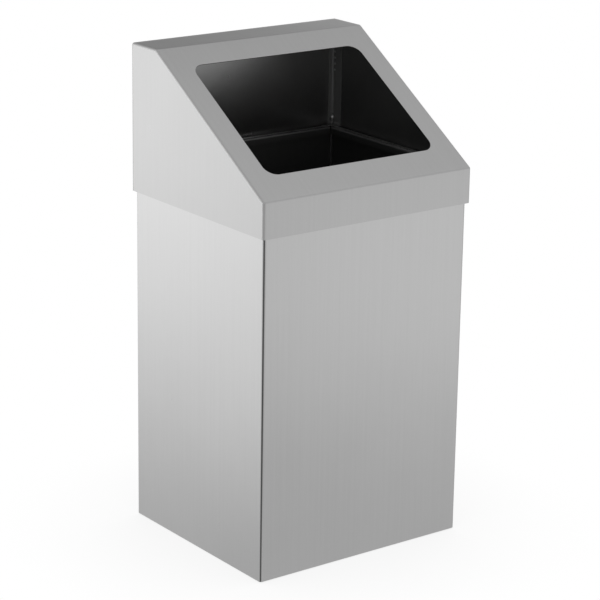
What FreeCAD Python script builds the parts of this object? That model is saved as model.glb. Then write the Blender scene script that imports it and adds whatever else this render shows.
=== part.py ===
"""Open-top waste bin of folded stainless steel, with a hood that lifts off to empty it.

Millimetres and degrees. The origin is on the floor under the middle of the body: +X is the bin's own right
seen from the front, +Y its back and +Z up.
"""
import FreeCAD, Part
import math
import os
import Sketcher

# Driving dimensions: alias, number, meaning

SIZES = (
    ("overall_height", 700, "floor to the hood's flat top"),
    ("body_width", 346, "body over its side walls"),
    ("body_depth", 308, "body from front wall to rear returns"),
    ("rim_height", 542.5, "floor to the top of the body's rim"),
    ("casing_lift", 2, "floor to the casing's lower edge"),
    ("sheet", 1, "thickness of every folded sheet"),
    ("bend_radius", 3, "inside radius of a fold"),
    ("rim_flange", 11, "rim, from the wall's outer face inwards"),
    ("rim_return", 12, "rim's turned-down edge, from the top"),
    ("rim_notch", 0.5, "gap between two rims at a corner, and of the back panel to the wrapper's folds"),
    ("seam_lap", 20, "rear return of the wrapper behind the back panel"),
    ("pan_depth", 12, "base pan's turned-down flange"),
    ("foot_inset_side", 40, "foot's centre from the body's side"),
    ("foot_inset_end", 40, "foot's centre from the body's front or back"),
    ("foot_radius", 14, "foot where it meets the pan"),
    ("foot_base_radius", 12, "foot where it meets the floor"),
    ("foot_edge", 1, "bevel of the foot's lower edge"),
    ("foot_web", 4, "rubber between washer and pan"),
    ("washer_radius", 6, "washer under the rivet's head"),
    ("washer_thickness", 1, "washer under the rivet's head"),
    ("washer_gap", 0.5, "washer to the foot's recess"),
    ("rivet_radius", 2, "rivet's shank"),
    ("rivet_gap", 0.1, "rivet's shank to its holes"),
    ("rivet_head_radius", 4, "rivet's head under the washer"),
    ("rivet_head_height", 1.4, "rivet's head under the washer"),
    ("rivet_tail_radius", 3, "rivet's spread tail on the pan"),
    ("rivet_tail_height", 3, "rivet's spread tail on the pan"),
    ("rivet_edge", 1, "bevel of the rivet's head and tail"),
    ("hood_gap", 3, "body's outer faces to the hood's inner faces"),
    ("skirt_lap", 53.5, "how far the hood hangs below the rim"),
    ("top_depth", 62.5, "flat top, from the sloping face to the back"),
    ("seat_gap", 0.3, "sloping sheet to the rim's front fold"),
    ("seam_edge", 0.6, "ground edge of the hood's welded seams"),
    ("cheek_corner_gap", 0.5, "cheek's corners clear of the cover's folds"),
    ("mouth_width", 284.5, "mouth across the sloping face"),
    ("mouth_low_margin", 44, "mouth to the lip's fold"),
    ("mouth_high_margin", 39, "mouth to the flat top's fold"),
    ("mouth_corner", 18, "corner radius of the mouth"),
    ("bracket_back_leg", 9, "corner bracket's leg on the back wall"),
    ("bracket_side_leg", 20, "corner bracket's leg on the cheek"),
    ("bracket_top_gap", 12, "bracket's top end to the flat top's sheet"),
    ("bracket_foot_reach", 14, "bracket's foot from the cheek inwards"),
    ("bracket_foot_length", 14, "bracket's foot along the rim"),
)

# How near an edge lies to the place where it is looked for
NEAR = 0.001

doc = FreeCAD.newDocument("waste_bin")
sheet = doc.addObject("Spreadsheet::Sheet", "Sizes")
for row, (alias, number, meaning) in enumerate(SIZES, 1):
    sheet.set(f"A{row}", meaning)
    sheet.set(f"B{row}", str(number))
    sheet.setAlias(f"B{row}", alias)
doc.recompute()

# Places that several pieces share, as expressions

SIDE = "(Sizes.body_width / 2)"
END = "(Sizes.body_depth / 2)"
OUTER_BEND = "(Sizes.bend_radius + Sizes.sheet)"
RELIEF = f"({OUTER_BEND} + Sizes.rim_notch)"
RIM_INNER = "(Sizes.rim_flange + Sizes.rim_notch)"
PAN_TOP = "(Sizes.casing_lift + Sizes.pan_depth)"
FOOT_TOP = f"({PAN_TOP} - Sizes.sheet)"
WASHER_TOP = f"({FOOT_TOP} - Sizes.foot_web)"
WASHER_BASE = f"({WASHER_TOP} - Sizes.washer_thickness)"
RIVET_HOLE = "(Sizes.rivet_radius + Sizes.rivet_gap)"

HOOD_SIDE = f"({SIDE} + Sizes.hood_gap + Sizes.sheet)"
HOOD_END = f"({END} + Sizes.hood_gap + Sizes.sheet)"
HOOD_INNER_SIDE = f"({HOOD_SIDE} - Sizes.sheet)"
HOOD_INNER_END = f"({HOOD_END} - Sizes.sheet)"
HOOD_INNER_TOP = "(Sizes.overall_height - Sizes.sheet)"
SKIRT_EDGE = "(Sizes.rim_height - Sizes.skirt_lap)"
TOP_FRONT = f"({HOOD_END} - Sizes.top_depth)"
# The sloping face falls from the flat top's front edge and passes the rim's front fold, whose centre is one
# outer bend inside the front and under the rim, at one sheet and the seat gap
FOLD_RUN = f"({TOP_FRONT} + {END} - {OUTER_BEND})"
FOLD_RISE = f"(Sizes.overall_height - Sizes.rim_height + {OUTER_BEND})"
FOLD_PASS = f"({OUTER_BEND} + Sizes.seat_gap + Sizes.sheet)"
SLOPE = f"(atan2({FOLD_RISE}; {FOLD_RUN}) - asin({FOLD_PASS} / hypot({FOLD_RUN}; {FOLD_RISE})))"
SLOPE_RUN = f"({TOP_FRONT} + {HOOD_END})"
SLOPE_LENGTH = f"({SLOPE_RUN} / cos({SLOPE}))"
LIP_TOP = f"(Sizes.overall_height - {SLOPE_RUN} * tan({SLOPE}))"
LIP_INNER_TOP = f"({LIP_TOP} - Sizes.sheet * tan(45 deg - {SLOPE} / 2))"
TOP_INNER_FRONT = f"({TOP_FRONT} + Sizes.sheet * tan({SLOPE} / 2))"


def value(expression):
    """The expression's present number."""
    result = sheet.evalExpression(expression)
    return float(getattr(result, "Value", result))


# Sketches and features

def origin_part(body, role):
    """The plane or axis of the body's own origin that has this role."""
    return next(part for part in body.Origin.OriginFeatures if part.Role == role)


def new_body(name):
    body = doc.addObject("PartDesign::Body", name)
    body.Label = name
    return body


def new_sketch(body, name, plane, height="0"):
    """A sketch on one of the body's origin planes, moved along the plane's normal by the height."""
    sketch = body.newObject("Sketcher::SketchObject", f"{body.Name}_{name}")
    sketch.AttachmentSupport = [(origin_part(body, plane), "")]
    sketch.MapMode = "FlatFace"
    sketch.setExpression("AttachmentOffset.Base.z", height)
    return sketch


def constrain(sketch, kind, references, expression):
    """Adds a dimension to the sketch and binds it to the expression."""
    index = sketch.addConstraint(Sketcher.Constraint(kind, *references, value(expression)))
    sketch.setExpression(f"Constraints[{index}]", expression)


def draw_outline(sketch, points):
    """A closed outline of straight lines, each corner held at a pair of expressions."""
    places = [FreeCAD.Vector(value(x), value(y), 0) for x, y in points]
    first = sketch.GeometryCount
    count = len(points)
    for n in range(count):
        sketch.addGeometry(Part.LineSegment(places[n], places[(n + 1) % count]))
    for n in range(count):
        sketch.addConstraint(Sketcher.Constraint("Coincident", first + n, 2, first + (n + 1) % count, 1))
    for n, (x, y) in enumerate(points):
        constrain(sketch, "DistanceX", (-1, 1, first + n, 1), x)
        constrain(sketch, "DistanceY", (-1, 1, first + n, 1), y)


def draw_rectangle(sketch, left, right, low, high):
    draw_outline(sketch, [(left, low), (right, low), (right, high), (left, high)])


def draw_rounded_rectangle(sketch, left, right, low, high, radius):
    """A rectangle whose corners are tangent arcs of one radius."""
    corner = value(radius)
    x0, x1, y0, y1 = (value(expression) for expression in (left, right, low, high))
    corners = [(x1 - corner, y0 + corner), (x1 - corner, y1 - corner),
               (x0 + corner, y1 - corner), (x0 + corner, y0 + corner)]
    ends = [(x0 + corner, y0), (x1 - corner, y0), (x1, y0 + corner), (x1, y1 - corner),
            (x1 - corner, y1), (x0 + corner, y1), (x0, y1 - corner), (x0, y0 + corner)]
    places = [FreeCAD.Vector(x, y, 0) for x, y in ends]
    normal = FreeCAD.Vector(0, 0, 1)
    quarter = math.pi / 2
    for n, (x, y) in enumerate(corners):
        circle = Part.Circle(FreeCAD.Vector(x, y, 0), normal, corner)
        sketch.addGeometry(Part.LineSegment(places[2 * n], places[2 * n + 1]))
        sketch.addGeometry(Part.ArcOfCircle(circle, (n - 1) * quarter, n * quarter))
    for n in range(len(corners)):
        line = 2 * n
        arc = line + 1
        following = (line + 2) % len(ends)
        sketch.addConstraint(Sketcher.Constraint("Tangent", line, 2, arc, 1))
        sketch.addConstraint(Sketcher.Constraint("Tangent", arc, 2, following, 1))
        sketch.addConstraint(Sketcher.Constraint("Vertical" if n % 2 else "Horizontal", line))
        if n:
            sketch.addConstraint(Sketcher.Constraint("Equal", 1, arc))
    constrain(sketch, "Radius", (1,), radius)
    constrain(sketch, "DistanceY", (-1, 1, 0, 1), low)
    constrain(sketch, "DistanceX", (-1, 1, 2, 1), right)
    constrain(sketch, "DistanceY", (-1, 1, 4, 1), high)
    constrain(sketch, "DistanceX", (-1, 1, 6, 1), left)


def extrude(body, kind, name, sketch, length, side="One side"):
    """A Pad or Pocket of the sketch, as long as the expression says."""
    doc.recompute()
    feature = body.newObject(f"PartDesign::{kind}", f"{body.Name}_{name}")
    feature.Profile = sketch
    feature.SideType = side
    feature.setExpression("Length", length)
    doc.recompute()
    return feature


def round_edges(body, name, radius, edges):
    """Rounds the straight edges that run along an axis through given places, each (axis, place, place)."""
    doc.recompute()
    base = body.Tip
    names = []
    for axis, *place in edges:
        across = [n for n in range(3) if n != "XYZ".index(axis)]
        target = [value(expression) for expression in place]
        for index, edge in enumerate(base.Shape.Edges, 1):
            ends = [[vertex.Point[n] for n in across] for vertex in edge.Vertexes]
            if len(ends) == 2 and all(abs(a - b) < NEAR for end in ends for a, b in zip(end, target)):
                names.append(f"Edge{index}")
    feature = body.newObject("PartDesign::Fillet", f"{body.Name}_{name}")
    feature.Base = (base, names)
    feature.setExpression("Radius", radius)
    doc.recompute()


def turn(name, profile):
    """A body turned about Z from a half section of (radius, height) corners."""
    body = new_body(name)
    sketch = new_sketch(body, "section", "XZ_Plane")
    draw_outline(sketch, profile)
    feature = body.newObject("PartDesign::Revolution", f"{name}_turned")
    feature.Profile = sketch
    feature.ReferenceAxis = (sketch, ["V_Axis"])
    doc.recompute()
    return body


def place(piece, x, y):
    piece.setExpression("Placement.Base.x", x)
    piece.setExpression("Placement.Base.y", y)


# Body

def rim_flange_points(face, half_length):
    """The level part of a rim as (along, inwards) corners, mitred between its two folds. The wall that carries
    it has its outer face this far inside the body's."""
    wall = f"({face} + Sizes.sheet)"
    outer = f"({half_length} - {RELIEF})"
    inner = f"({half_length} - {RIM_INNER})"
    near_fold = f"({face} + {OUTER_BEND})"
    far_fold = f"(Sizes.rim_flange - {OUTER_BEND})"
    edge = "Sizes.rim_flange"
    return [(f"-{outer}", wall), (outer, wall), (outer, near_fold), (inner, far_fold),
            (inner, edge), (f"-{inner}", edge), (f"-{inner}", far_fold), (f"-{outer}", near_fold)]


def rim_return_points(half_length):
    """The rim's turned-down edge as (along, inwards) corners."""
    inner = f"({half_length} - {RIM_INNER})"
    start = "(Sizes.rim_flange - Sizes.sheet)"
    edge = "Sizes.rim_flange"
    return [(f"-{inner}", start), (inner, start), (inner, edge), (f"-{inner}", edge)]


def on_front(points):
    return [(along, f"({inwards} - {END})") for along, inwards in points]


def on_back(points):
    return [(along, f"({END} - {inwards})") for along, inwards in points]


def on_right(points):
    return [(f"({SIDE} - {inwards})", along) for along, inwards in points]


def on_left(points):
    return [(f"({inwards} - {SIDE})", along) for along, inwards in points]


def add_rims(body, flanges, returns):
    """Pads the level parts of the rims, then their turned-down edges."""
    sketch = new_sketch(body, "rim_plan", "XY_Plane", "Sizes.rim_height - Sizes.sheet")
    for points in flanges:
        draw_outline(sketch, points)
    extrude(body, "Pad", "rim", sketch, "Sizes.sheet")
    sketch = new_sketch(body, "rim_return_plan", "XY_Plane", "Sizes.rim_height - Sizes.rim_return")
    for points in returns:
        draw_outline(sketch, points)
    extrude(body, "Pad", "rim_return", sketch, "Sizes.rim_return")


def make_body_wrapper():
    """Front and both sides from one sheet, folded into a U with returns behind the back panel."""
    body = new_body("body_wrapper")
    inner_side = f"({SIDE} - Sizes.sheet)"
    inner_end = f"({END} - Sizes.sheet)"
    lap = f"({SIDE} - Sizes.seam_lap)"
    sketch = new_sketch(body, "plan", "XY_Plane", "Sizes.casing_lift")
    draw_outline(sketch, [
        (f"-{lap}", END), (f"-{SIDE}", END), (f"-{SIDE}", f"-{END}"),
        (SIDE, f"-{END}"), (SIDE, END), (lap, END),
        (lap, inner_end), (inner_side, inner_end), (inner_side, f"-{inner_end}"),
        (f"-{inner_side}", f"-{inner_end}"), (f"-{inner_side}", inner_end), (f"-{lap}", inner_end),
    ])
    extrude(body, "Pad", "walls", sketch, "Sizes.rim_height - Sizes.casing_lift")
    signs = [(x, y) for x in ("", "-") for y in ("", "-")]
    round_edges(body, "outer_folds", OUTER_BEND, [("Z", f"{x}{SIDE}", f"{y}{END}") for x, y in signs])
    round_edges(body, "inner_folds", "Sizes.bend_radius",
                [("Z", f"{x}{inner_side}", f"{y}{inner_end}") for x, y in signs])

    front = rim_flange_points("0", SIDE)
    side = rim_flange_points("0", END)
    front_return = rim_return_points(SIDE)
    side_return = rim_return_points(END)
    add_rims(body, [on_front(front), on_left(side), on_right(side)],
             [on_front(front_return), on_left(side_return), on_right(side_return)])

    sketch = new_sketch(body, "relief_plan", "XY_Plane", "Sizes.rim_height")
    for x, y in signs:
        draw_rectangle(sketch, f"{x}{SIDE}", f"{x}({SIDE} - {RELIEF})", f"{y}{END}", f"{y}({END} - {RELIEF})")
    extrude(body, "Pocket", "corner_relief", sketch, OUTER_BEND)

    rim_top = "Sizes.rim_height"
    rim_under = "Sizes.rim_height - Sizes.sheet"
    rim_edge = "Sizes.rim_flange"
    rim_inside = "(Sizes.rim_flange - Sizes.sheet)"
    round_edges(body, "rim_outer_folds", OUTER_BEND, [
        ("X", f"-{END}", rim_top), ("X", f"{rim_edge} - {END}", rim_top),
        ("Y", SIDE, rim_top), ("Y", f"{SIDE} - {rim_edge}", rim_top),
        ("Y", f"-{SIDE}", rim_top), ("Y", f"{rim_edge} - {SIDE}", rim_top),
    ])
    round_edges(body, "rim_inner_folds", "Sizes.bend_radius", [
        ("X", f"-{inner_end}", rim_under), ("X", f"{rim_inside} - {END}", rim_under),
        ("Y", inner_side, rim_under), ("Y", f"{SIDE} - {rim_inside}", rim_under),
        ("Y", f"-{inner_side}", rim_under), ("Y", f"{rim_inside} - {SIDE}", rim_under),
    ])
    return body


def make_body_back_panel():
    """The flat sheet that closes the U, lapped inside its returns, with a rim of its own."""
    body = new_body("body_back_panel")
    half = f"({SIDE} - {RELIEF})"
    outer = f"({END} - Sizes.sheet)"
    inner = f"({outer} - Sizes.sheet)"
    sketch = new_sketch(body, "plan", "XY_Plane", "Sizes.casing_lift")
    draw_rectangle(sketch, f"-{half}", half, inner, outer)
    extrude(body, "Pad", "panel", sketch, "Sizes.rim_height - Sizes.casing_lift")
    add_rims(body, [on_back(rim_flange_points("Sizes.sheet", SIDE))], [on_back(rim_return_points(SIDE))])
    rim_top = "Sizes.rim_height"
    rim_under = "Sizes.rim_height - Sizes.sheet"
    round_edges(body, "rim_outer_folds", OUTER_BEND,
                [("X", outer, rim_top), ("X", f"{END} - Sizes.rim_flange", rim_top)])
    round_edges(body, "rim_inner_folds", "Sizes.bend_radius",
                [("X", inner, rim_under), ("X", f"{END} - Sizes.rim_flange + Sizes.sheet", rim_under)])
    return body


def foot_places():
    """Each foot's name and the expressions for its centre."""
    x = f"({SIDE} - Sizes.foot_inset_side)"
    y = f"({END} - Sizes.foot_inset_end)"
    return [("front_left", f"-{x}", f"-{y}"), ("front_right", x, f"-{y}"),
            ("rear_left", f"-{x}", y), ("rear_right", x, y)]


def make_base_pan():
    """The floor tray: its flange is turned down inside the walls and ends level with them."""
    body = new_body("base_pan")
    side = f"({SIDE} - Sizes.sheet)"
    front = f"({END} - Sizes.sheet)"
    back = f"({front} - Sizes.sheet)"
    sketch = new_sketch(body, "plan", "XY_Plane", "Sizes.casing_lift")
    draw_rectangle(sketch, f"-{side}", side, f"-{front}", back)
    extrude(body, "Pad", "block", sketch, "Sizes.pan_depth")
    corners = [(x, y) for x in (side, f"-{side}") for y in (f"-{front}", back)]
    round_edges(body, "corner_folds", OUTER_BEND, [("Z", x, y) for x, y in corners])
    round_edges(body, "upper_folds", OUTER_BEND, [
        ("X", f"-{front}", PAN_TOP), ("X", back, PAN_TOP), ("Y", side, PAN_TOP), ("Y", f"-{side}", PAN_TOP),
    ])
    block = body.Tip
    heights = [face.CenterOfMass.z for face in block.Shape.Faces]
    shell = body.newObject("PartDesign::Thickness", "base_pan_shell")
    shell.Base = (block, [f"Face{heights.index(min(heights)) + 1}"])
    shell.Reversed = True
    shell.setExpression("Value", "Sizes.sheet")
    doc.recompute()
    sketch = new_sketch(body, "hole_plan", "XY_Plane", PAN_TOP)
    for n, (name, x, y) in enumerate(foot_places()):
        sketch.addGeometry(Part.Circle(FreeCAD.Vector(value(x), value(y), 0), FreeCAD.Vector(0, 0, 1),
                                       value(RIVET_HOLE)))
        constrain(sketch, "Radius", (n,), RIVET_HOLE)
        constrain(sketch, "DistanceX", (-1, 1, n, 3), x)
        constrain(sketch, "DistanceY", (-1, 1, n, 3), y)
    extrude(body, "Pocket", "rivet_holes", sketch, "Sizes.pan_depth")
    return body


def make_foot(name, x, y):
    """A rubber bumper: a blunt cone with a recess for the washer and the rivet's head."""
    recess = "(Sizes.washer_radius + Sizes.washer_gap)"
    foot = turn(f"foot_{name}", [
        (recess, "0"), ("Sizes.foot_base_radius - Sizes.foot_edge", "0"),
        ("Sizes.foot_base_radius", "Sizes.foot_edge"), ("Sizes.foot_radius", FOOT_TOP),
        (RIVET_HOLE, FOOT_TOP), (RIVET_HOLE, WASHER_TOP), (recess, WASHER_TOP),
    ])
    place(foot, x, y)
    return foot


def make_washer(name, x, y):
    washer = turn(f"washer_{name}", [
        (RIVET_HOLE, WASHER_BASE), ("Sizes.washer_radius", WASHER_BASE),
        ("Sizes.washer_radius", WASHER_TOP), (RIVET_HOLE, WASHER_TOP),
    ])
    place(washer, x, y)
    return washer


def make_rivet(name, x, y):
    """A blind rivet: head under the washer, spread tail on top of the pan."""
    head = f"({WASHER_BASE} - Sizes.rivet_head_height)"
    tail = f"({PAN_TOP} + Sizes.rivet_tail_height)"
    rivet = turn(f"rivet_{name}", [
        ("0", head), ("Sizes.rivet_head_radius - Sizes.rivet_edge", head),
        ("Sizes.rivet_head_radius", f"{head} + Sizes.rivet_edge"), ("Sizes.rivet_head_radius", WASHER_BASE),
        ("Sizes.rivet_radius", WASHER_BASE), ("Sizes.rivet_radius", PAN_TOP),
        ("Sizes.rivet_tail_radius", PAN_TOP), ("Sizes.rivet_tail_radius", f"{tail} - Sizes.rivet_edge"),
        ("Sizes.rivet_tail_radius - Sizes.rivet_edge", tail), ("0", tail),
    ])
    place(rivet, x, y)
    return rivet


def make_group(name, pieces):
    """Identical fasteners in one named compound of separate solids."""
    group = doc.addObject("Part::Compound", name)
    group.Label = name
    group.Links = pieces
    return group


# Hood

def make_hood_cover():
    """Lip, sloping face, flat top and back wall from one sheet, with the mouth cut in the slope."""
    body = new_body("hood_cover")
    sketch = new_sketch(body, "section", "YZ_Plane")
    draw_outline(sketch, [
        (f"-{HOOD_END}", SKIRT_EDGE), (f"-{HOOD_END}", LIP_TOP), (TOP_FRONT, "Sizes.overall_height"),
        (HOOD_END, "Sizes.overall_height"), (HOOD_END, SKIRT_EDGE),
        (HOOD_INNER_END, SKIRT_EDGE), (HOOD_INNER_END, HOOD_INNER_TOP), (TOP_INNER_FRONT, HOOD_INNER_TOP),
        (f"-{HOOD_INNER_END}", LIP_INNER_TOP), (f"-{HOOD_INNER_END}", SKIRT_EDGE),
    ])
    extrude(body, "Pad", "sheet", sketch, f"2 * {HOOD_SIDE}", "Symmetric")
    round_edges(body, "outer_folds", OUTER_BEND, [
        ("X", f"-{HOOD_END}", LIP_TOP), ("X", TOP_FRONT, "Sizes.overall_height"),
        ("X", HOOD_END, "Sizes.overall_height"),
    ])
    round_edges(body, "inner_folds", "Sizes.bend_radius", [
        ("X", f"-{HOOD_INNER_END}", LIP_INNER_TOP), ("X", TOP_INNER_FRONT, HOOD_INNER_TOP),
        ("X", HOOD_INNER_END, HOOD_INNER_TOP),
    ])
    # Each ground edge runs on from the lip, round the folds, to the foot of the back wall
    round_edges(body, "seam_edges", "Sizes.seam_edge",
                [("Z", HOOD_SIDE, f"-{HOOD_END}"), ("Z", f"-{HOOD_SIDE}", f"-{HOOD_END}")])

    sketch = new_sketch(body, "mouth_plan", "XY_Plane", LIP_TOP)
    level = FreeCAD.Rotation(FreeCAD.Vector(1, 0, 0), 0)
    sketch.AttachmentOffset = FreeCAD.Placement(FreeCAD.Vector(), level)
    sketch.setExpression("AttachmentOffset.Base.y", f"-{HOOD_END}")
    sketch.setExpression("AttachmentOffset.Rotation.Angle", SLOPE)
    draw_rounded_rectangle(sketch, "-Sizes.mouth_width / 2", "Sizes.mouth_width / 2",
                           "Sizes.mouth_low_margin", f"{SLOPE_LENGTH} - Sizes.mouth_high_margin",
                           "Sizes.mouth_corner")
    extrude(body, "Pocket", "mouth", sketch, "2 * Sizes.sheet")
    return body


def make_hood_cheek(name, sign):
    """A side plate that fills the cover's section and carries its edges."""
    body = new_body(f"hood_{name}_cheek")
    sketch = new_sketch(body, "outline", "YZ_Plane", f"{sign}({HOOD_SIDE} - Sizes.sheet / 2)")
    front = f"-{HOOD_INNER_END}"
    draw_outline(sketch, [
        (front, SKIRT_EDGE), (front, LIP_INNER_TOP), (TOP_INNER_FRONT, HOOD_INNER_TOP),
        (HOOD_INNER_END, HOOD_INNER_TOP), (HOOD_INNER_END, SKIRT_EDGE),
    ])
    extrude(body, "Pad", "plate", sketch, "Sizes.sheet", "Symmetric")
    round_edges(body, "corners", "Sizes.bend_radius + Sizes.cheek_corner_gap", [
        ("X", front, LIP_INNER_TOP), ("X", TOP_INNER_FRONT, HOOD_INNER_TOP),
        ("X", HOOD_INNER_END, HOOD_INNER_TOP),
    ])
    return body


def make_hood_bracket(name, sign):
    """An upright angle in a rear corner, with a foot that stands on the body's rim."""
    body = new_body(f"hood_{name}_bracket")
    side = f"{sign}{HOOD_INNER_SIDE}"
    side_face = f"{sign}({HOOD_INNER_SIDE} - Sizes.sheet)"
    back_leg_end = f"{sign}({HOOD_INNER_SIDE} - Sizes.bracket_back_leg)"
    back = HOOD_INNER_END
    back_face = f"({HOOD_INNER_END} - Sizes.sheet)"
    side_leg_end = f"({HOOD_INNER_END} - Sizes.bracket_side_leg)"
    sketch = new_sketch(body, "section", "XY_Plane", "Sizes.rim_height")
    draw_outline(sketch, [
        (side, back), (side, side_leg_end), (side_face, side_leg_end),
        (side_face, back_face), (back_leg_end, back_face), (back_leg_end, back),
    ])
    extrude(body, "Pad", "angle", sketch, f"{HOOD_INNER_TOP} - Sizes.bracket_top_gap - Sizes.rim_height")
    round_edges(body, "outer_fold", OUTER_BEND, [("Z", side, back)])
    round_edges(body, "inner_fold", "Sizes.bend_radius", [("Z", side_face, back_face)])
    sketch = new_sketch(body, "foot_plan", "XY_Plane", "Sizes.rim_height")
    draw_rectangle(sketch, f"{sign}({HOOD_INNER_SIDE} - Sizes.bracket_foot_reach)", side,
                   side_leg_end, f"{side_leg_end} + Sizes.bracket_foot_length")
    extrude(body, "Pad", "foot", sketch, "Sizes.sheet")
    round_edges(body, "foot_fold", "Sizes.bend_radius", [("Y", side_face, "Sizes.rim_height + Sizes.sheet")])
    return body


# Assembly

pieces = [make_body_wrapper(), make_body_back_panel(), make_base_pan()]
pieces += [make_foot(*foot) for foot in foot_places()]
pieces.append(make_group("foot_washers", [make_washer(*foot) for foot in foot_places()]))
pieces.append(make_group("foot_rivets", [make_rivet(*foot) for foot in foot_places()]))
pieces.append(make_hood_cover())
for side_name, side_sign in (("left", "-"), ("right", "")):
    pieces.append(make_hood_cheek(side_name, side_sign))
    pieces.append(make_hood_bracket(side_name, side_sign))
doc.recompute()

for item in doc.Objects:
    if "Invalid" in item.State or "Error" in item.State:
        raise RuntimeError(f"{item.Label} failed: {item.State}")
for piece in pieces:
    if piece.Shape.isNull() or not piece.Shape.isValid():
        raise RuntimeError(f"{piece.Label} has no valid shape")

os.makedirs("parts", exist_ok=True)
for piece in pieces:
    piece.Shape.exportStep(f"parts/{piece.Label}.step")
    print(f"{piece.Label}: {len(piece.Shape.Solids)} solid(s), {piece.Shape.Volume:.1f} mm3")
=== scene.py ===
"""Looks of the open-top waste bin: brushed steel sheet, rubber feet, studio and camera. Metres, +Z up."""
import math
import bmesh
import bpy
import numpy as np
from mathutils import Matrix, Vector


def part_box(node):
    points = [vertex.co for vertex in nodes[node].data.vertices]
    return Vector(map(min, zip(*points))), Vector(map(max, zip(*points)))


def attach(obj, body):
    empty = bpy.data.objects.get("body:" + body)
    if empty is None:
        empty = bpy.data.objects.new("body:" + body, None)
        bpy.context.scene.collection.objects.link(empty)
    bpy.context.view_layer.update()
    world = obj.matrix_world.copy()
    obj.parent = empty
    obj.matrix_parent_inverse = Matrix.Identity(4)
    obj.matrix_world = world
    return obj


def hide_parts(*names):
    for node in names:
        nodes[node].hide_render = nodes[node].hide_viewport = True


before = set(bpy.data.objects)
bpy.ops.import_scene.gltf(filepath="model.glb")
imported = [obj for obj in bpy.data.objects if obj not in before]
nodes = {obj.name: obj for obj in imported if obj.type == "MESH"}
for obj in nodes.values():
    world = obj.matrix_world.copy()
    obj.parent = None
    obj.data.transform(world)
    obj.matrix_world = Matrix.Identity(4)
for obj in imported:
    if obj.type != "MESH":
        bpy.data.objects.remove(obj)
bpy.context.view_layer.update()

scene = bpy.context.scene

# Body wrapper
# One stainless sheet folded into a U, with a satin face that is brushed upright and a dull mill face inside,
# whose dark tone is painted shade.
# Its top edge is folded in and down for a safe rim, and the rear returns take the back panel's spot welds.
SHEET = 0.001
STEEL_TONE = 0.58
STEEL_ROUGHNESS = 0.3
STEEL_SPREAD = 0.4
UPRIGHT_GRAIN = (1300, 1300, 10)
NEARLY_UP = (0.02, 0.01, 1)
BROAD_SHARE = 0.16
STREAK_SHADE = (0.975, 1.025)
STREAK_GLOSS = (0.96, 1.04)
CLOUD_SCALE = 7
CLOUD_SHADE = (0.985, 1.015)
CLOUD_GLOSS = (0.93, 1.07)
NOISE_LOW = 0.25
NOISE_HIGH = 0.75
GRAIN_STRENGTH = 0.1
GRAIN_DEPTH = 0.00003
SWAY_STRENGTH = 0.3
SWAY_DEPTH = 0.0006
# Painted shade: the dark tone of the mill face inside the body and on the cheeks stands in for the shade
# within the bin
SHADED_MILL_TONE = 0.15
MILL_ROUGHNESS = 0.5


def add(tree, kind, inputs=None, **settings):
    """Adds a shader node. Each input is a number, a vector or colour, or another node's output to link."""
    made = tree.nodes.new(kind)
    for key, value in settings.items():
        setattr(made, key, value)
    for key, value in (inputs or {}).items():
        if isinstance(value, bpy.types.NodeSocket):
            tree.links.new(value, made.inputs[key])
        else:
            made.inputs[key].default_value = value
    return made


def soft_noise(tree, place, scale, detail, roughness):
    """Noise at the place, spread over 0 to 1 by a smooth step between its usual low and high values."""
    settings = {"Vector": place, "Scale": scale, "Detail": detail, "Roughness": roughness}
    noise = add(tree, "ShaderNodeTexNoise", settings).outputs[0]
    step = {"Value": noise, "From Min": NOISE_LOW, "From Max": NOISE_HIGH}
    return add(tree, "ShaderNodeMapRange", step, interpolation_type="SMOOTHSTEP").outputs[0]


def streaks(tree, place, stretch, share):
    """Soft noise drawn out along the brushing: the place is scaled by the stretch, more across than along."""
    scale = [share * factor for factor in stretch]
    scaled = add(tree, "ShaderNodeMapping", {"Vector": place, "Scale": scale})
    return soft_noise(tree, scaled.outputs[0], scale=1, detail=3, roughness=0.6)


def blend(tree, factor, first, second):
    """A number that goes from the first to the second as the factor goes from 0 to 1."""
    return add(tree, "ShaderNodeMapRange", {"Value": factor, "To Min": first, "To Max": second}).outputs[0]


def combine(tree, first, second, operation="MULTIPLY"):
    """The product of two values, or what another operation makes of them."""
    return add(tree, "ShaderNodeMath", {0: first, 1: second}, operation=operation).outputs[0]


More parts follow.
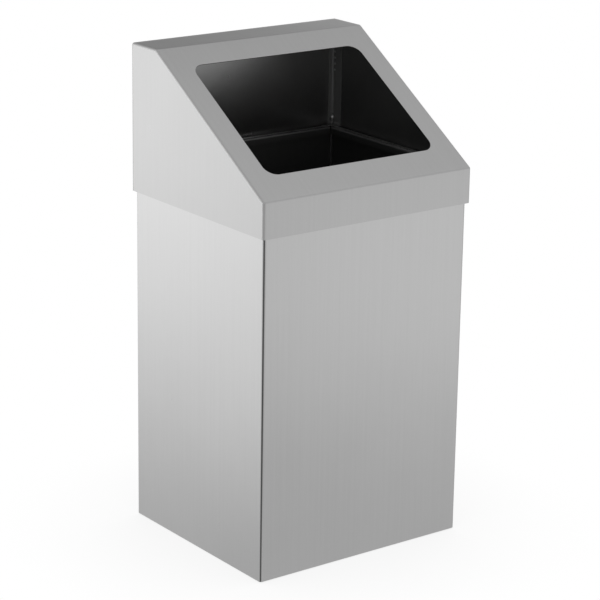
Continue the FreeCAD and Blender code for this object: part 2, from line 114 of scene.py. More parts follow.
def steel_sheet(name, tone, roughness, stretch, across, inside=None):
    """Brushed sheet. Fine and broad streaks and soft clouds vary its tone and gloss, and fine streaks and
    clouds its relief. The gloss spreads across the brushing: along the given direction, or level round the
    wall where there is none. Within the inside box, given by its middle and its half sizes, the sheet has the
    dull mill finish, whose dark tone is painted shade."""
    made = bpy.data.materials.new(name)
    made.use_nodes = True
    tree = made.node_tree
    shader = tree.nodes["Principled BSDF"]
    place = add(tree, "ShaderNodeTexCoord").outputs["Object"]
    fine = streaks(tree, place, stretch, 1)
    broad = streaks(tree, place, stretch, BROAD_SHARE)
    cloud = soft_noise(tree, place, scale=CLOUD_SCALE, detail=4, roughness=0.55)
    brushing = combine(tree, combine(tree, fine, broad, "ADD"), 0.5)
    shade = combine(tree, blend(tree, brushing, *STREAK_SHADE), blend(tree, cloud, *CLOUD_SHADE))
    gloss = combine(tree, blend(tree, broad, *STREAK_GLOSS), blend(tree, cloud, *CLOUD_GLOSS))
    tone_level = combine(tree, shade, tone)
    gloss_level = combine(tree, gloss, roughness)
    if inside:
        middle, half_sizes = inside
        away = add(tree, "ShaderNodeVectorMath", {0: place, 1: middle}, operation="SUBTRACT").outputs[0]
        apart = add(tree, "ShaderNodeVectorMath", {0: away}, operation="ABSOLUTE").outputs[0]
        apart = add(tree, "ShaderNodeSeparateXYZ", {0: apart})
        within = 1.0
        for axis, limit in zip("XYZ", half_sizes):
            within = combine(tree, within, combine(tree, apart.outputs[axis], limit, "LESS_THAN"))
        # The dark mill tone within the inside box is painted shade
        shaded_mill_level = combine(tree, shade, SHADED_MILL_TONE)
        tone_level = add(tree, "ShaderNodeMix", {0: within, 2: tone_level, 3: shaded_mill_level}).outputs[0]
        gloss_level = add(tree, "ShaderNodeMix", {0: within, 2: gloss_level, 3: MILL_ROUGHNESS}).outputs[0]
    grain = add(tree, "ShaderNodeBump", {"Height": fine, "Strength": GRAIN_STRENGTH, "Distance": GRAIN_DEPTH})
    sway = add(tree, "ShaderNodeBump", {"Height": cloud, "Strength": SWAY_STRENGTH, "Distance": SWAY_DEPTH,
                                        "Normal": grain.outputs[0]})
    if across:
        spread = add(tree, "ShaderNodeCombineXYZ", dict(enumerate(across))).outputs[0]
    else:
        facing = add(tree, "ShaderNodeNewGeometry").outputs["Normal"]
        spread = add(tree, "ShaderNodeVectorMath", {0: facing, 1: NEARLY_UP},
                     operation="CROSS_PRODUCT").outputs[0]
    shader.inputs["Metallic"].default_value = 1
    shader.inputs["Anisotropic"].default_value = STEEL_SPREAD
    tree.links.new(spread, shader.inputs["Tangent"])
    tree.links.new(tone_level, shader.inputs["Base Color"])
    tree.links.new(gloss_level, shader.inputs["Roughness"])
    tree.links.new(sway.outputs[0], shader.inputs["Normal"])
    return made


def dress(node_name, finish):
    """Gives a CAD node a finish, in the material slot that it came with."""
    nodes[node_name].material_slots[0].material = finish


# The mill face, whose dark tone is painted shade, begins half way through the wall, and at the rear lap half
# way through the inner sheet
wrapper_low, wrapper_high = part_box("body_wrapper")
inside_low = wrapper_low + Vector((SHEET / 2, SHEET / 2, -SHEET))
inside_high = wrapper_high - Vector((SHEET / 2, SHEET + SHEET / 2, SHEET / 2))
body_inside = ((inside_low + inside_high) / 2, (inside_high - inside_low) / 2)
body_steel = steel_sheet("body_steel", STEEL_TONE, STEEL_ROUGHNESS, UPRIGHT_GRAIN, None, body_inside)
dress("body_wrapper", body_steel)

# Back panel
# The sheet that closes the back of the U, of the same brushed steel, lapped inside the wrapper's returns.
# A row of resistance welds up each lap holds it, and every weld leaves a small pressed ring on the outside.
LAP_HALF_WIDTH = 0.010
LAP_WELDS = 9
LAP_WELD_FROM_FOOT = 0.033
LAP_WELD_FROM_RIM = 0.0375
WELD_RADIUS = 0.0026
WELD_HEIGHT = 0.00016
WELD_DISH = 0.35
DISH_POWER = 2.2
EDGE_POWER = 6
WELD_RINGS = 13
WELD_SIDES = 24
WELD_TONE = 0.5
WELD_ROUGHNESS = 0.36
EVEN_GRAIN = (400, 400, 400)
JOIN_DISTANCE = 1e-7


def place_mesh(name, points, faces, finishes, body):
    """Makes a smooth mesh object from point and face arrays, joins doubled points, and sets it on a body."""
    mesh = bpy.data.meshes.new(name)
    mesh.from_pydata(points.reshape(-1, 3).tolist(), [], faces.tolist())
    work = bmesh.new()
    work.from_mesh(mesh)
    bmesh.ops.remove_doubles(work, verts=work.verts, dist=JOIN_DISTANCE)
    work.to_mesh(mesh)
    work.free()
    mesh.polygons.foreach_set("use_smooth", np.ones(len(mesh.polygons), bool))
    for finish in finishes:
        mesh.materials.append(finish)
    made = bpy.data.objects.new(name, mesh)
    scene.collection.objects.link(made)
    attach(made, body)
    return made


def grid_faces(rows, columns, closed=False):
    """Quads of a grid of points counted row by row, which joins its last column to its first where closed."""
    cells_across = columns if closed else columns - 1
    row, column = np.meshgrid(np.arange(rows - 1), np.arange(cells_across), indexing="ij")
    after = (column + 1) % columns
    here, above = row * columns, (row + 1) * columns
    corners = (here + column, here + after, above + after, above + column)
    return np.stack([corner.ravel() for corner in corners], axis=1)


def turned_marks(centres, outward, profile):
    """A profile of radius and height turned round the outward axis at each centre: centre plus radius times
    the turning direction plus height times the axis. Returns the points and faces of all the marks."""
    outward = np.asarray(outward, float)
    first = np.cross(outward, (0, 0, 1) if abs(outward[2]) < 0.5 else (1, 0, 0))
    second = np.cross(outward, first)
    angle = np.arange(WELD_SIDES) * 2 * np.pi / WELD_SIDES
    ring = np.cos(angle)[:, None] * first + np.sin(angle)[:, None] * second
    one = profile[:, :1, None] * ring[None] + profile[:, 1:, None] * outward
    points = np.asarray(centres)[:, None, None] + one[None]
    faces = grid_faces(len(profile), WELD_SIDES, closed=True)
    shift = np.arange(len(centres))[:, None, None] * len(profile) * WELD_SIDES
    return points, (faces[None, :, ::-1] + shift).reshape(-1, 4)


def weld_ring(radius, height):
    """Profile of a pressed weld mark, closed below the sheet: a dish plus half a sine wave that crests in a
    ring near the edge, times a falling root that brings the edge down to the sheet."""
    share = np.linspace(0, 1, WELD_RINGS)
    crest = WELD_DISH + (1 - WELD_DISH) * np.sin(np.pi * share ** DISH_POWER)
    rise = height * crest * np.sqrt(1 - share ** EDGE_POWER)
    below = [[radius, -height], [0, -height]]
    return np.concatenate([np.stack([radius * share, rise], axis=1), below])


dress("body_back_panel", body_steel)
weld_steel = steel_sheet("weld_steel", WELD_TONE, WELD_ROUGHNESS, EVEN_GRAIN, None)
lap_middle = wrapper_high.x - LAP_HALF_WIDTH
lap_heights = np.linspace(wrapper_low.z + LAP_WELD_FROM_FOOT, wrapper_high.z - LAP_WELD_FROM_RIM, LAP_WELDS)
lap_x, lap_z = np.meshgrid((-lap_middle, lap_middle), lap_heights, indexing="ij")
lap_centres = np.stack([lap_x.ravel(), np.full(lap_x.size, wrapper_high.y), lap_z.ravel()], axis=1)
lap_points, lap_faces = turned_marks(lap_centres, (0, 1, 0), weld_ring(WELD_RADIUS, WELD_HEIGHT))
place_mesh("rear_lap_welds", lap_points, lap_faces, [weld_steel], "bin_body")

# Base pan
# A tray of mill-finish sheet with its flange turned down, welded inside the lower edge of the casing.
# It carries the feet, and its pressed face shows the dull, even grain of rolled steel.
PAN_TONE = 0.5
PAN_ROUGHNESS = 0.42
PAN_GRAIN = (60, 500, 500)
PAN_SPREAD = (0, 1, 0.02)
pan_steel = steel_sheet("pan_steel", PAN_TONE, PAN_ROUGHNESS, PAN_GRAIN, PAN_SPREAD)
dress("base_pan", pan_steel)

# Feet
# Four moulded rubber bumpers under the pan, matt black, with a fine sparked mould texture.
# Each is hollow from below, so that its rivet sits clear of the floor.
MOULD_SCALE = 1800
MOULD_STRENGTH = 0.4
MOULD_DEPTH = 0.0001
SCUFF_SCALE = 90
SCUFF_LOW = 0.4
SCUFF_HIGH = 0.75
RUBBER_TONE = 0.02
DUST_TONE = 0.045
RUBBER_ROUGHNESS = (0.62, 0.82)
foot_rubber = bpy.data.materials.new("foot_rubber")
foot_rubber.use_nodes = True
rubber_tree = foot_rubber.node_tree
rubber = rubber_tree.nodes["Principled BSDF"]
rubber_place = add(rubber_tree, "ShaderNodeTexCoord").outputs["Object"]
mould_noise = {"Vector": rubber_place, "Scale": MOULD_SCALE, "Detail": 2}
mould = add(rubber_tree, "ShaderNodeTexNoise", mould_noise).outputs[0]
scuff_noise = {"Vector": rubber_place, "Scale": SCUFF_SCALE, "Detail": 4}
scuff = add(rubber_tree, "ShaderNodeTexNoise", scuff_noise).outputs[0]
dust = add(rubber_tree, "ShaderNodeMapRange", {"Value": scuff, "From Min": SCUFF_LOW, "From Max": SCUFF_HIGH,
                                               "To Min": RUBBER_TONE, "To Max": DUST_TONE}).outputs[0]
rubber_tree.links.new(dust, rubber.inputs["Base Color"])
rubber_tree.links.new(blend(rubber_tree, scuff, *RUBBER_ROUGHNESS), rubber.inputs["Roughness"])
mould_relief = add(rubber_tree, "ShaderNodeBump", {"Height": mould, "Strength": MOULD_STRENGTH,
                                                   "Distance": MOULD_DEPTH})
rubber_tree.links.new(mould_relief.outputs[0], rubber.inputs["Normal"])
for corner in ("front_left", "front_right", "rear_left", "rear_right"):
    dress("foot_" + corner, foot_rubber)

# Foot washers and rivets
# Zinc-plated steel washers spread the load in each foot, and aluminium blind rivets clamp them to the pan.
# Both are small pressed parts with a fine, even surface.
ZINC_TONE = 0.58
ZINC_ROUGHNESS = 0.34
ZINC_GRAIN = (900, 900, 900)
RIVET_TONE = 0.68
RIVET_ROUGHNESS = 0.3
RIVET_GRAIN = (600, 600, 600)
zinc_plate = steel_sheet("zinc_plate", ZINC_TONE, ZINC_ROUGHNESS, ZINC_GRAIN, None)
rivet_aluminium = steel_sheet("rivet_aluminium", RIVET_TONE, RIVET_ROUGHNESS, RIVET_GRAIN, None)
dress("foot_washers", zinc_plate)
dress("foot_rivets", rivet_aluminium)

# Hood cover
# One stainless sheet with three folds: front lip, sloping face with the mouth cut in it, top and back wall.
# It is brushed along its length, and its side edges are rolled round to meet the cheeks in a dressed weld.
hood_low, hood_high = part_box("hood_cover")
HOOD_HALF_WIDTH, HOOD_HALF_DEPTH, TOP_Z = hood_high
SKIRT_Z = hood_low.z
TOP_DEPTH = 0.0625
TOP_FOLD_Y = HOOD_HALF_DEPTH - TOP_DEPTH
FOLD_RADIUS = 0.004
SEAT_GAP = 0.0003
ROLL_WIDTH = 0.0034
ROLL_DEPTH = 0.0030
EDGE_TAIL = 0.0003
EDGE_BREAK = 0.00012
EDGE_ANGLE = math.radians(60)
MOUTH_HALF_WIDTH = 0.14225
MOUTH_FROM_LIP = 0.0440
MOUTH_FROM_TOP = 0.039
MOUTH_CORNER = 0.018
BORDER = 0.018
BORDER_RINGS = np.array([0.3, 0.65, 0.9, 1.0])
FOLD_MARGIN = 0.0098
ROLL_MARGIN = 0.0056
ARC_STEPS = 12
ROLL_STEPS = 8
CORNER_STEPS = 6
SIDE_STEPS = 14
LIP_POINTS = 6
TOP_POINTS = 6
BACK_POINTS = 14
# The hood's tone is set below the body's, so its lip and cheeks read darker than the body under them
HOOD_TONE = 0.51
SHEET_GRAIN = (1300, 10, 10)
SHEET_SPREAD = (1, 0.02, 0.03)
# Painted shade: the cover's inner face is set darker than its outer face, for the shade inside the hood
COVER_INSIDE_SHADED_TONE = 0.33
COVER_INSIDE_ROUGHNESS = 0.29
ROLLED_GRAIN = (90, 90, 90)
# Painted shade: the rough cut edges are made near black, for the shade on edges that face into the hood
CUT_EDGE_SHADE_TONE = 0.06

# The slope falls from the top's front edge and passes the rim's front fold at one sheet and the seat gap
fold_run = TOP_FOLD_Y - wrapper_low.y - FOLD_RADIUS
fold_rise = TOP_Z - wrapper_high.z + FOLD_RADIUS
fold_pass = FOLD_RADIUS + SEAT_GAP + SHEET
slope_turn = math.atan2(fold_rise, fold_run) - math.asin(fold_pass / math.hypot(fold_run, fold_rise))
lip_top_z = TOP_Z - (TOP_FOLD_Y + HOOD_HALF_DEPTH) * math.tan(slope_turn)
slope_length = (TOP_FOLD_Y + HOOD_HALF_DEPTH) / math.cos(slope_turn)
lip_tangent = math.tan((math.pi / 2 - slope_turn) / 2)
top_tangent = math.tan(slope_turn / 2)


def hood_line(inset, runs):
    """Outline of the hood in Y and Z, moved inwards by the inset: lip, slope, top and back, with an arc in
    each corner that is tangent to both its neighbours. A run holds the shares of its straight stretch at
    which it has points. Returns the points and their outward normals."""
    radius = FOLD_RADIUS - inset
    corners = np.array([
        (inset - HOOD_HALF_DEPTH, SKIRT_Z), (inset - HOOD_HALF_DEPTH, lip_top_z - inset * lip_tangent),
        (TOP_FOLD_Y + inset * top_tangent, TOP_Z - inset), (HOOD_HALF_DEPTH - inset, TOP_Z - inset),
        (HOOD_HALF_DEPTH - inset, SKIRT_Z)])
    along = np.diff(corners, axis=0)
    along /= np.linalg.norm(along, axis=1)[:, None]
    turn = np.arccos(np.sum(along[:-1] * along[1:], axis=1))
    cut = np.concatenate([[0], radius * np.tan(turn / 2), [0]])
    outward = np.stack([-along[:, 1], along[:, 0]], axis=1)
    points, normals = [], []
    for index, run in enumerate(runs):
        start = corners[index] + along[index] * cut[index]
        end = corners[index + 1] - along[index] * cut[index + 1]
        share = run[:, None]
        points.append(start * (1 - share) + end * share)
        normals.append(np.repeat(outward[index:index + 1], len(run), axis=0))
        if index < len(turn):
            angle = turn[index] * np.arange(1, ARC_STEPS)[:, None] / ARC_STEPS
            arc = outward[index] * np.cos(angle) + along[index] * np.sin(angle)
            points.append(end - outward[index] * radius + arc * radius)
            normals.append(arc)
    return np.concatenate(points), np.concatenate(normals)


def mouth_side(out, along, centre_start, centre_end):
    """One side of the mouth from the middle of one rounded corner to the middle of the next, without the last
    point: half an arc, a straight run cut into equal steps, and half an arc, in the plane of the slope."""
    half = np.linspace(0, np.pi / 4, CORNER_STEPS + 1)[:, None]
    first = centre_start + MOUTH_CORNER * (np.cos(np.pi / 4 - half) * out - np.sin(np.pi / 4 - half) * along)
    last = centre_end + MOUTH_CORNER * (np.cos(half) * out + np.sin(half) * along)
    share = np.linspace(0, 1, SIDE_STEPS + 1)[1:, None]
    return np.concatenate([first, first[-1] * (1 - share) + last[0] * share, last[1:-1]])


def thicken(piece):
    """Gives a sheet its thickness on the inner side, with its own finish there, and breaks its cut edges."""
    wall = piece.modifiers.new("thickness", "SOLIDIFY")
    wall.thickness = SHEET
    wall.offset = -1
    wall.material_offset = 1
    wall.material_offset_rim = 2
    rounding = piece.modifiers.new("edges", "BEVEL")
    rounding.width = EDGE_BREAK
    rounding.segments = 2
    rounding.limit_method = "ANGLE"
    rounding.angle_limit = EDGE_ANGLE
    rounding.harden_normals = True


# The folded sheet as a grid: rows along the outline, columns across it, and a square border round the mouth.
# A row beside each fold and a column beside each roll keep the flat face evenly shaded.
mouth_low, mouth_high = MOUTH_FROM_LIP, slope_length - MOUTH_FROM_TOP
slope_low, slope_high = FOLD_RADIUS * lip_tangent, slope_length - FOLD_RADIUS * top_tangent
border_steps = SIDE_STEPS + 2 * CORNER_STEPS
border_rows = np.linspace(mouth_low - BORDER, mouth_high + BORDER, border_steps + 1)
slope_rows = np.concatenate([
    [slope_low, slope_low + FOLD_MARGIN], border_rows, [slope_high - FOLD_MARGIN, slope_high]])
slope_shares = (slope_rows - slope_low) / (slope_high - slope_low)
cover_line, cover_out = hood_line(0, [
    np.linspace(0, 1, LIP_POINTS), slope_shares,
    np.linspace(0, 1, TOP_POINTS), np.linspace(0, 1, BACK_POINTS)])

roll = np.linspace(0, np.pi / 2, ROLL_STEPS + 1)
roll_start = HOOD_HALF_WIDTH - ROLL_WIDTH
rolled_x = np.concatenate([roll_start + ROLL_WIDTH * np.sin(roll), [HOOD_HALF_WIDTH]])
rolled_depth = np.concatenate([ROLL_DEPTH * (1 - np.cos(roll)), [ROLL_DEPTH + EDGE_TAIL]])
border_half_width = MOUTH_HALF_WIDTH + BORDER
border_x = np.linspace(-border_half_width, border_half_width, border_steps + 1)
margin_x = roll_start - ROLL_MARGIN
cover_x = np.concatenate([-rolled_x[::-1], [-margin_x], border_x, [margin_x], rolled_x])
flat_depth = np.zeros(len(cover_x) - 2 * len(rolled_x))
cover_depth = np.concatenate([rolled_depth[::-1], flat_depth, rolled_depth])
inward = cover_line[:, None] - cover_out[:, None] * cover_depth[None, :, None]
across = np.broadcast_to(cover_x[None, :, None], inward.shape[:2] + (1,))
cover_grid = np.concatenate([across, inward], axis=2)

# The cells inside the border are left out, and rings from the border to the mouth's edge take their place
rows, columns = cover_grid.shape[:2]
low_row = LIP_POINTS + ARC_STEPS - 1 + 2
left_column = len(rolled_x) + 1
high_row, right_column = low_row + border_steps, left_column + border_steps
cells = grid_faces(rows, columns)
cell_row, cell_column = cells[:, 0] // columns, cells[:, 0] % columns
in_border = ((cell_row >= low_row) & (cell_row < high_row)
             & (cell_column >= left_column) & (cell_column < right_column))
step = np.arange(border_steps)
border_loop = np.concatenate([
    low_row * columns + left_column + step,
    (low_row + step) * columns + right_column,
    high_row * columns + right_column - step,
    (high_row - step) * columns + left_column])

centre_x = MOUTH_HALF_WIDTH - MOUTH_CORNER
centre_low, centre_high = mouth_low + MOUTH_CORNER, mouth_high - MOUTH_CORNER
corner_centres = np.array([
    (-centre_x, centre_low), (centre_x, centre_low), (centre_x, centre_high), (-centre_x, centre_high)])
outs = np.array([(0.0, -1.0), (1.0, 0.0), (0.0, 1.0), (-1.0, 0.0)])
next_centres, next_outs = np.roll(corner_centres, -1, axis=0), np.roll(outs, -1, axis=0)
mouth_flat = np.concatenate([
    mouth_side(*side) for side in zip(outs, next_outs, corner_centres, next_centres)])
slope_along = np.array([math.cos(slope_turn), math.sin(slope_turn)])
slope_start = np.array([-HOOD_HALF_DEPTH, lip_top_z])
mouth_loop = np.concatenate([mouth_flat[:, :1], slope_start + mouth_flat[:, 1:] * slope_along], axis=1)

flat_points = cover_grid.reshape(-1, 3)
ring_share = BORDER_RINGS[:, None, None]
mouth_rings = flat_points[border_loop][None] * (1 - ring_share) + mouth_loop[None] * ring_share
ring_shape = mouth_rings.shape[:2]
ring_numbers = len(flat_points) + np.arange(ring_shape[0] * ring_shape[1]).reshape(ring_shape)
ring_index = np.concatenate([border_loop[None], ring_numbers])
after = np.roll(ring_index, -1, axis=1)
ring_faces = np.stack([ring_index[:-1], after[:-1], after[1:], ring_index[1:]], axis=2).reshape(-1, 4)
cover_points = np.concatenate([flat_points, mouth_rings.reshape(-1, 3)])
cover_faces = np.concatenate([cells[~in_border], ring_faces])

# Points that no face uses any more are dropped, and the rest are counted anew
used, cover_faces = np.unique(cover_faces, return_inverse=True)
cover_faces = cover_faces.reshape(-1, 4)

hood_steel = steel_sheet("hood_steel", HOOD_TONE, STEEL_ROUGHNESS, SHEET_GRAIN, SHEET_SPREAD)
cover_inside = steel_sheet("cover_inside", COVER_INSIDE_SHADED_TONE, COVER_INSIDE_ROUGHNESS, ROLLED_GRAIN, None)
# The cut edges are near black: painted shade on the mouth's edge and the sheets' rims
shaded_cut_edge = steel_sheet("shaded_cut_edge", CUT_EDGE_SHADE_TONE, MILL_ROUGHNESS, EVEN_GRAIN, None)
hood_cover = place_mesh("hood_cover_sheet", cover_points[used], cover_faces,
                        [hood_steel, cover_inside, shaded_cut_edge], "hood")
thicken(hood_cover)
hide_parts("hood_cover")

# Hood cheeks
# Two flat side plates of the same sheet, brushed upright, let in between the cover's rolled edges.
# A weld runs round three sides of each, and the lower edge is free.
SEAM_GAP = 0.00015
CHEEK_INSET = ROLL_DEPTH + EDGE_TAIL + SEAM_GAP
CHEEK_ROWS = 14
CHEEK_RUNS = (2, 30, 8, 2)
SIDES = ((-1, "left"), (1, "right"))


def even_runs(counts):
    """For each count of points, shares that divide a run into equal steps."""
    return [np.linspace(0, 1, count) for count in counts]


def cheek_grid(side):
    """Plate between the skirt line and the inset outline: each column runs straight up between them."""
    outline, _ = hood_line(CHEEK_INSET, even_runs(CHEEK_RUNS))
    upper = outline[1:-1]
    share = np.linspace(0, 1, CHEEK_ROWS)[:, None]
    height = SKIRT_Z + (upper[None, :, 1] - SKIRT_Z) * share
    depth = np.broadcast_to(upper[None, :, 0], height.shape)
    points = np.stack([np.full(height.shape, side * HOOD_HALF_WIDTH), depth, height], axis=2)
    faces = grid_faces(*height.shape)
    return points, faces[:, ::-1] if side < 0 else faces


cheek_steel = steel_sheet("cheek_steel", HOOD_TONE, STEEL_ROUGHNESS, UPRIGHT_GRAIN, None)
# The cheeks' inner faces take the dull mill finish, darkened with painted shade
shaded_mill_face = steel_sheet("shaded_mill_face", SHADED_MILL_TONE, MILL_ROUGHNESS, ROLLED_GRAIN, None)
for side, side_name in SIDES:
    cheek_points, cheek_faces = cheek_grid(side)
    cheek = place_mesh("hood_" + side_name + "_cheek_plate", cheek_points, cheek_faces,
                       [cheek_steel, shaded_mill_face, shaded_cut_edge], "hood")
    thicken(cheek)
    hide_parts("hood_" + side_name + "_cheek")

# Hood seam welds
# The bead that joins each cheek to the cover, ground back almost flush and polished with a fine belt.
# It follows the cheek's outline from the lip's lower edge over the top to the back wall's lower edge.
BEAD_HALF_WIDTH = 0.0006
BEAD_HEIGHT = 0.00012
BEAD_SIDES = 12
BEAD_RUNS = (16, 90, 20, 60)
BEAD_SWELL = 0.12
BEAD_RIPPLE = 1.9
BEAD_DRIFT = 0.37
BEAD_TONE = 0.54
BEAD_ROUGHNESS = 0.24
BEAD_GRAIN = (500, 500, 500)


def bead(side):
    """An ellipse carried along the seam: half its width lies in the plate's plane, and its height stands out
    of it. A ripple times a slower drift swells it, and its size falls to nothing at both ends, which closes
    them."""
    line, out = hood_line(CHEEK_INSET - SEAM_GAP / 2, even_runs(BEAD_RUNS))
    angle = np.arange(BEAD_SIDES) * 2 * np.pi / BEAD_SIDES
    travel = np.arange(len(line))
    swell = 1 + BEAD_SWELL * np.sin(BEAD_RIPPLE * travel) * np.sin(BEAD_DRIFT * travel)
    swell[[0, -1]] = 0
    reach = BEAD_HALF_WIDTH * swell[:, None] * np.cos(angle)
    proud = side * (HOOD_HALF_WIDTH + BEAD_HEIGHT * swell[:, None] * np.sin(angle))
    flat = line[:, None] + out[:, None] * reach[..., None]
    points = np.concatenate([proud[..., None], flat], axis=2)
    faces = grid_faces(len(line), BEAD_SIDES, closed=True)
    return points, faces[:, ::-1] if side < 0 else faces


bead_steel = steel_sheet("bead_steel", BEAD_TONE, BEAD_ROUGHNESS, BEAD_GRAIN, None)
for side, side_name in SIDES:
    bead_points, bead_faces = bead(side)
    place_mesh("hood_" + side_name + "_seam_weld", bead_points, bead_faces,
               [bead_steel], "hood")

# Hood brackets
# Upright angles of mill-finish sheet in the rear corners, darkened with painted shade, with a foot that
# stands on the body's rim.
# A few spot welds near the top hold each to its cheek, and a short corner weld stiffens its lower end.
# Painted shade: the brackets' dark tone stands in for the shade inside the hood
BRACKET_SHADED_TONE = 0.28
BRACKET_ROUGHNESS = 0.62
BRACKET_GRAIN = (500, 500, 12)
SPOT_RADIUS = 0.0019
SPOT_HEIGHT = 0.0003
SPOT_FROM_BACK = 0.0035
SPOTS_FROM_TOP = np.linspace(0.063, 0.036, 4)
CORNER_WELD_RADIUS = 0.0030
CORNER_WELD_HALF = 0.0055
CORNER_WELD_UP = 0.0088
CORNER_WELD_RINGS = 17
bracket_steel = steel_sheet("bracket_steel", BRACKET_SHADED_TONE, BRACKET_ROUGHNESS, BRACKET_GRAIN, None)
# The corner weld is a long drop: half an ellipse from pole to pole, turned round its upright axis
pole = np.linspace(0, np.pi, CORNER_WELD_RINGS)
corner_weld = np.stack([CORNER_WELD_RADIUS * np.sin(pole), CORNER_WELD_HALF * np.cos(pole)], axis=1)
weld_inset = CORNER_WELD_RADIUS - SHEET / 2
for side, side_name in SIDES:
    dress("hood_" + side_name + "_bracket", bracket_steel)
    bracket_low, bracket_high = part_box("hood_" + side_name + "_bracket")
    leg_x = (bracket_high.x if side > 0 else bracket_low.x) - side * SHEET
    leg_y = bracket_high.y - SHEET
    spots = np.array([(leg_x, leg_y - SPOT_FROM_BACK, bracket_high.z - down) for down in SPOTS_FROM_TOP])
    spot_points, spot_faces = turned_marks(spots, (-side, 0, 0), weld_ring(SPOT_RADIUS, SPOT_HEIGHT))
    place_mesh("hood_" + side_name + "_spot_welds", spot_points, spot_faces,
               [weld_steel], "hood")
    weld_place = [(leg_x - side * weld_inset, leg_y - weld_inset, bracket_low.z + CORNER_WELD_UP)]
    weld_points, weld_faces = turned_marks(weld_place, (0, 0, 1), corner_weld)
    place_mesh("hood_" + side_name + "_corner_weld", weld_points, weld_faces,
               [weld_steel], "hood")

# Studio floor
# A plain white floor. The camera and the steel see it white, with the bin's own soft shadow where it stands.
# To all other light it is a pale matt paint.
FLOOR_HALF = 6
FLOOR_TONE = 0.85
SHADOW_TONE = 0.85
SHADOW_REACH = 0.25
SHADOW_SAMPLES = 8
floor_mesh = bpy.data.meshes.new("floor")
floor_mesh.from_pydata([(-FLOOR_HALF, -FLOOR_HALF, 0), (FLOOR_HALF, -FLOOR_HALF, 0),
                        (FLOOR_HALF, FLOOR_HALF, 0), (-FLOOR_HALF, FLOOR_HALF, 0)], [], [(0, 1, 2, 3)])
floor = bpy.data.objects.new("floor", floor_mesh)
scene.collection.objects.link(floor)


def grey(level):
    """An opaque grey colour."""
    return (level, level, level, 1)


def seen(tree):
    """1 for rays from the camera and for those that the steel or glass sends on, 0 for the rest."""
    path = add(tree, "ShaderNodeLightPath").outputs
    either = combine(tree, path["Is Camera Ray"], path["Is Glossy Ray"], "MAXIMUM")
    return combine(tree, either, path["Is Transmission Ray"], "MAXIMUM")


floor_paint = bpy.data.materials.new("floor_paint")
floor_paint.use_nodes = True
floor_tree = floor_paint.node_tree
floor_tree.nodes.clear()
nearness = add(floor_tree, "ShaderNodeAmbientOcclusion", {"Distance": SHADOW_REACH}, samples=SHADOW_SAMPLES)
floor_shade = blend(floor_tree, nearness.outputs["AO"], SHADOW_TONE, 1.0)
white = add(floor_tree, "ShaderNodeEmission", {"Color": floor_shade, "Strength": 1})
matt = add(floor_tree, "ShaderNodeBsdfDiffuse", {"Color": grey(FLOOR_TONE)})
floor_look = add(floor_tree, "ShaderNodeMixShader", {0: seen(floor_tree), 1: matt.outputs[0],
                                                     2: white.outputs[0]})
add(floor_tree, "ShaderNodeOutputMaterial", {0: floor_look.outputs[0]})
floor_mesh.materials.append(floor_paint)

# Studio tent
# A pale cloth tent round the bin, with a floor cloth, that only its steel sees. A large window behind it on
# the left throws light on the floor there, and a fainter one stands behind it on the right.
# Each light or shade has its place, its reach, and the level that it adds to the cloth, as a bell curve.
TENT_RADIUS = 1.6
TENT_LIFT = 0.0006
TENT_SIDES = 144
FLOOR_RINGS = 49
DOME_RINGS = 64
DOME_START = 0.01
CLOTH_LEVEL = 0.6
DARKEST = 0.03
LEFT_WINDOW = ((-1.0, 1.25, 0.4), 0.7, 0.9)
LEFT_FLOOR = ((-0.8, 0.3, 0.0), 0.5, 0.3)
RIGHT_WINDOW = ((1.1, 1.1, 0.4), 0.5, 0.5)
FRONT_FILL = ((0.9, -1.1, 0.1), 0.7, 0.3)
OVERHEAD_FILL = ((0.5, -0.2, 1.5), 0.6, 0.15)
CAMERA_SHADE = ((-0.8, -0.7, 0.0), 0.5, -0.4)
BACK_SHADE = ((0.5, 1.0, 1.1), 0.6, -0.35)
TENT_LIGHTS = (LEFT_WINDOW, LEFT_FLOOR, RIGHT_WINDOW, FRONT_FILL, OVERHEAD_FILL, CAMERA_SHADE, BACK_SHADE)
# A line of radius and height, along the floor and up a quarter circle, is turned round the upright axis
floor_radius = np.linspace(0.0, TENT_RADIUS, FLOOR_RINGS)
floor_line = np.stack([floor_radius, np.full(FLOOR_RINGS, TENT_LIFT)], axis=1)
climb = np.linspace(DOME_START, np.pi / 2, DOME_RINGS)
tent_line = np.concatenate([floor_line, TENT_RADIUS * np.stack([np.cos(climb), np.sin(climb)], axis=1)])
tent_angle = np.arange(TENT_SIDES) * 2 * np.pi / TENT_SIDES
tent_points = np.stack([tent_line[:, :1] * np.cos(tent_angle), tent_line[:, :1] * np.sin(tent_angle),
                        np.repeat(tent_line[:, 1:], TENT_SIDES, axis=1)], axis=2).reshape(-1, 3)
tent_mesh = bpy.data.meshes.new("tent")
tent_faces = grid_faces(len(tent_line), TENT_SIDES, closed=True)
tent_mesh.from_pydata(tent_points.tolist(), [], tent_faces.tolist())
glow_level = np.full(len(tent_points), CLOTH_LEVEL)
for middle, reach, level in TENT_LIGHTS:
    glow_level += level * np.exp(-np.sum((tent_points - middle) ** 2, axis=1) / reach ** 2)
glow_layer = tent_mesh.attributes.new("glow", "FLOAT", "POINT")
glow_layer.data.foreach_set("value", np.maximum(glow_level, DARKEST))
tent = bpy.data.objects.new("tent", tent_mesh)
scene.collection.objects.link(tent)
tent_cloth = bpy.data.materials.new("tent_cloth")
tent_cloth.use_nodes = True
tent_tree = tent_cloth.node_tree
tent_tree.nodes.clear()
glow = add(tent_tree, "ShaderNodeAttribute", attribute_name="glow").outputs["Fac"]
tent_light = add(tent_tree, "ShaderNodeEmission", {"Color": grey(1), "Strength": glow})
add(tent_tree, "ShaderNodeOutputMaterial", {0: tent_light.outputs[0]})
tent_mesh.materials.append(tent_cloth)
tent.visible_camera = False
tent.visible_diffuse = False
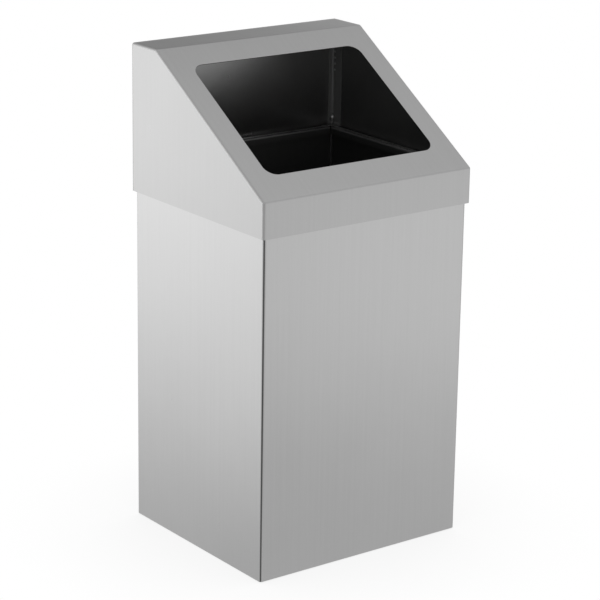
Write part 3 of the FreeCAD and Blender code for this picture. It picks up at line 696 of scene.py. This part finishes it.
tent.visible_transmission = False
tent.visible_shadow = False

# Studio light
# An even white surrounding lights the matt pieces from all sides, at a plain level.
# The camera sees it white.
SURROUND_LEVEL = 0.9
world = bpy.data.worlds.new("studio")
scene.world = world
world.use_nodes = True
world_tree = world.node_tree
world_level = blend(world_tree, seen(world_tree), SURROUND_LEVEL, 1.0)
world_tree.links.new(world_level, world_tree.nodes["Background"].inputs["Strength"])
world_tree.nodes["Background"].inputs["Color"].default_value = grey(1)

# Camera
# A long lens, turned to the bin's front left corner and looking down on it, as the photograph was taken.
# It aims at the middle of the bin, and a small sidestep and rise give the photograph's framing.
CAMERA_TARGET = Vector((0, 0, 0.351))
CAMERA_AZIMUTH = math.radians(-36.921)
CAMERA_ELEVATION = math.radians(17.057)
CAMERA_ROLL = math.radians(0.921)
CAMERA_DISTANCE = 3.3381
CAMERA_SIDESTEP = 0.0022
CAMERA_RISE = -0.01294
LENS = 141.383
SENSOR = 36

back = Vector((math.sin(CAMERA_AZIMUTH) * math.cos(CAMERA_ELEVATION),
               -math.cos(CAMERA_AZIMUTH) * math.cos(CAMERA_ELEVATION), math.sin(CAMERA_ELEVATION)))
level_right = Vector((math.cos(CAMERA_AZIMUTH), math.sin(CAMERA_AZIMUTH), 0))
level_up = back.cross(level_right)
right = math.cos(CAMERA_ROLL) * level_right + math.sin(CAMERA_ROLL) * level_up
up = math.cos(CAMERA_ROLL) * level_up - math.sin(CAMERA_ROLL) * level_right
camera_data = bpy.data.cameras.new("camera")
camera_data.lens = LENS
camera_data.sensor_width = SENSOR
camera = bpy.data.objects.new("camera", camera_data)
camera_place = CAMERA_TARGET + back * CAMERA_DISTANCE + right * CAMERA_SIDESTEP + up * CAMERA_RISE
camera.matrix_world = Matrix((
    (right.x, up.x, back.x, camera_place.x),
    (right.y, up.y, back.y, camera_place.y),
    (right.z, up.z, back.z, camera_place.z),
    (0, 0, 0, 1),
))
scene.collection.objects.link(camera)
scene.camera = camera

scene.view_settings.view_transform = "Standard"
